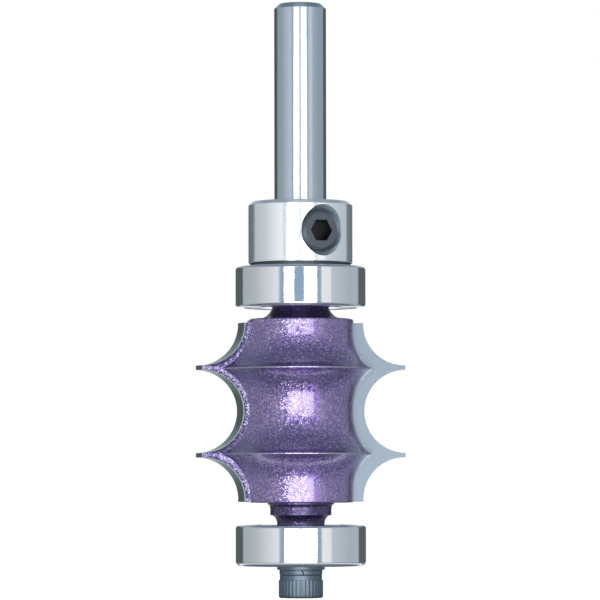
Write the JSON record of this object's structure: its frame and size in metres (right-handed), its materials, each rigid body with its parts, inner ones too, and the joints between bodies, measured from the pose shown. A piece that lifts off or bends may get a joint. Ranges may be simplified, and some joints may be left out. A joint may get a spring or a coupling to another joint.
{
  "type": "router bit",
  "caption": "Straight-shank edge-profile router bit with concave carbide cutting edges, a guide bearing at each end, a stop collar and a retaining screw.",
  "frame": {"origin": "on the axis of the bit, at the flat underside of the retaining screw's head", "axes": "+Z along the axis towards the shank's end; the cutting faces lie in the XZ plane, and the +X tip's cutting face looks to -Y"},
  "size_m": [0.0254, 0.0172, 0.0721],
  "materials": {
    "painted_body": "glossy purple metallic paint on the cutter, bare ground steel on the shank",
    "carbide": "ground tungsten carbide",
    "bearing_steel": "polished bearing steel",
    "shield_steel": "pressed bright steel",
    "cage_steel": "plain",
    "ball_steel": "mirror polished",
    "collar_steel": "zinc plated",
    "black_oxide": "black oxide",
    "screw_steel": "dark grey"
  },
  "bodies": {
    "bit": {"cutter_body": "painted_body", "carbide_tip_right": "carbide", "carbide_tip_left": "carbide", "upper_inner_ring": "bearing_steel", "lower_inner_ring": "bearing_steel", "flat_washer": "screw_steel", "lock_washer": "screw_steel", "cap_screw": "screw_steel"},
    "collar": {"stop_collar": "collar_steel", "set_screw": "black_oxide"},
    "upper_bearing": {"upper_outer_ring": "bearing_steel", "upper_shield_top": "shield_steel", "upper_shield_bottom": "shield_steel"},
    "upper_cage": {"upper_ball_cage": "cage_steel"},
    "upper_ball_1": {"upper_ball_1": "ball_steel"},
    "upper_ball_2": {"upper_ball_2": "ball_steel"},
    "upper_ball_3": {"upper_ball_3": "ball_steel"},
    "upper_ball_4": {"upper_ball_4": "ball_steel"},
    "upper_ball_5": {"upper_ball_5": "ball_steel"},
    "upper_ball_6": {"upper_ball_6": "ball_steel"},
    "upper_ball_7": {"upper_ball_7": "ball_steel"},
    "upper_ball_8": {"upper_ball_8": "ball_steel"},
    "lower_bearing": {"lower_outer_ring": "bearing_steel", "lower_shield_top": "shield_steel", "lower_shield_bottom": "shield_steel"},
    "lower_cage": {"lower_ball_cage": "cage_steel"},
    "lower_ball_1": {"lower_ball_1": "ball_steel"},
    "lower_ball_2": {"lower_ball_2": "ball_steel"},
    "lower_ball_3": {"lower_ball_3": "ball_steel"},
    "lower_ball_4": {"lower_ball_4": "ball_steel"},
    "lower_ball_5": {"lower_ball_5": "ball_steel"},
    "lower_ball_6": {"lower_ball_6": "ball_steel"},
    "lower_ball_7": {"lower_ball_7": "ball_steel"},
    "lower_ball_8": {"lower_ball_8": "ball_steel"}
  },
  "joints": [
    {"name": "collar_slide", "type": "slide", "parent": "bit", "child": "collar", "axis": [0, 0, 1], "range_m": [0, 0.023]},
    {"name": "upper_bearing_spin", "type": "hinge", "parent": "bit", "child": "upper_bearing", "pos_m": [0, 0, 0.03759], "axis": [0, 0, 1], "continuous": true},
    {"name": "upper_cage_spin", "type": "hinge", "parent": "bit", "child": "upper_cage", "pos_m": [0, 0, 0.03759], "axis": [0, 0, 1], "continuous": true},
    {"name": "upper_ball_1_spin", "type": "hinge", "parent": "upper_cage", "child": "upper_ball_1", "pos_m": [0.00393, 0.00393, 0.03759], "axis": [0, 0, 1], "continuous": true},
    {"name": "upper_ball_2_spin", "type": "hinge", "parent": "upper_cage", "child": "upper_ball_2", "pos_m": [0, 0.00556, 0.03759], "axis": [0, 0, 1], "continuous": true},
    {"name": "upper_ball_3_spin", "type": "hinge", "parent": "upper_cage", "child": "upper_ball_3", "pos_m": [-0.00393, 0.00393, 0.03759], "axis": [0, 0, 1], "continuous": true},
    {"name": "upper_ball_4_spin", "type": "hinge", "parent": "upper_cage", "child": "upper_ball_4", "pos_m": [-0.00556, 0, 0.03759], "axis": [0, 0, 1], "continuous": true},
    {"name": "upper_ball_5_spin", "type": "hinge", "parent": "upper_cage", "child": "upper_ball_5", "pos_m": [-0.00393, -0.00393, 0.03759], "axis": [0, 0, 1], "continuous": true},
    {"name": "upper_ball_6_spin", "type": "hinge", "parent": "upper_cage", "child": "upper_ball_6", "pos_m": [0, -0.00556, 0.03759], "axis": [0, 0, 1], "continuous": true},
    {"name": "upper_ball_7_spin", "type": "hinge", "parent": "upper_cage", "child": "upper_ball_7", "pos_m": [0.00393, -0.00393, 0.03759], "axis": [0, 0, 1], "continuous": true},
    {"name": "upper_ball_8_spin", "type": "hinge", "parent": "upper_cage", "child": "upper_ball_8", "pos_m": [0.00556, 0, 0.03759], "axis": [0, 0, 1], "continuous": true},
    {"name": "lower_bearing_spin", "type": "hinge", "parent": "bit", "child": "lower_bearing", "pos_m": [0, 0, 0.00634], "axis": [0, 0, 1], "continuous": true},
    {"name": "lower_cage_spin", "type": "hinge", "parent": "bit", "child": "lower_cage", "pos_m": [0, 0, 0.00634], "axis": [0, 0, 1], "continuous": true},
    {"name": "lower_ball_1_spin", "type": "hinge", "parent": "lower_cage", "child": "lower_ball_1", "pos_m": [0.00393, 0.00393, 0.00634], "axis": [0, 0, 1], "continuous": true},
    {"name": "lower_ball_2_spin", "type": "hinge", "parent": "lower_cage", "child": "lower_ball_2", "pos_m": [0, 0.00556, 0.00634], "axis": [0, 0, 1], "continuous": true},
    {"name": "lower_ball_3_spin", "type": "hinge", "parent": "lower_cage", "child": "lower_ball_3", "pos_m": [-0.00393, 0.00393, 0.00634], "axis": [0, 0, 1], "continuous": true},
    {"name": "lower_ball_4_spin", "type": "hinge", "parent": "lower_cage", "child": "lower_ball_4", "pos_m": [-0.00556, 0, 0.00634], "axis": [0, 0, 1], "continuous": true},
    {"name": "lower_ball_5_spin", "type": "hinge", "parent": "lower_cage", "child": "lower_ball_5", "pos_m": [-0.00393, -0.00393, 0.00634], "axis": [0, 0, 1], "continuous": true},
    {"name": "lower_ball_6_spin", "type": "hinge", "parent": "lower_cage", "child": "lower_ball_6", "pos_m": [0, -0.00556, 0.00634], "axis": [0, 0, 1], "continuous": true},
    {"name": "lower_ball_7_spin", "type": "hinge", "parent": "lower_cage", "child": "lower_ball_7", "pos_m": [0.00393, -0.00393, 0.00634], "axis": [0, 0, 1], "continuous": true},
    {"name": "lower_ball_8_spin", "type": "hinge", "parent": "lower_cage", "child": "lower_ball_8", "pos_m": [0.00556, 0, 0.00634], "axis": [0, 0, 1], "continuous": true}
  ],
  "couplings": [
    {"joint": "upper_cage_spin", "follows": "upper_bearing_spin", "ratio": 0.60714},
    {"joint": "upper_ball_1_spin", "follows": "upper_bearing_spin", "ratio": 2.2263},
    {"joint": "upper_ball_2_spin", "follows": "upper_bearing_spin", "ratio": 2.2263},
    {"joint": "upper_ball_3_spin", "follows": "upper_bearing_spin", "ratio": 2.2263},
    {"joint": "upper_ball_4_spin", "follows": "upper_bearing_spin", "ratio": 2.2263},
    {"joint": "upper_ball_5_spin", "follows": "upper_bearing_spin", "ratio": 2.2263},
    {"joint": "upper_ball_6_spin", "follows": "upper_bearing_spin", "ratio": 2.2263},
    {"joint": "upper_ball_7_spin", "follows": "upper_bearing_spin", "ratio": 2.2263},
    {"joint": "upper_ball_8_spin", "follows": "upper_bearing_spin", "ratio": 2.2263},
    {"joint": "lower_cage_spin", "follows": "lower_bearing_spin", "ratio": 0.60714},
    {"joint": "lower_ball_1_spin", "follows": "lower_bearing_spin", "ratio": 2.2263},
    {"joint": "lower_ball_2_spin", "follows": "lower_bearing_spin", "ratio": 2.2263},
    {"joint": "lower_ball_3_spin", "follows": "lower_bearing_spin", "ratio": 2.2263},
    {"joint": "lower_ball_4_spin", "follows": "lower_bearing_spin", "ratio": 2.2263},
    {"joint": "lower_ball_5_spin", "follows": "lower_bearing_spin", "ratio": 2.2263},
    {"joint": "lower_ball_6_spin", "follows": "lower_bearing_spin", "ratio": 2.2263},
    {"joint": "lower_ball_7_spin", "follows": "lower_bearing_spin", "ratio": 2.2263},
    {"joint": "lower_ball_8_spin", "follows": "lower_bearing_spin", "ratio": 2.2263}
  ]
}
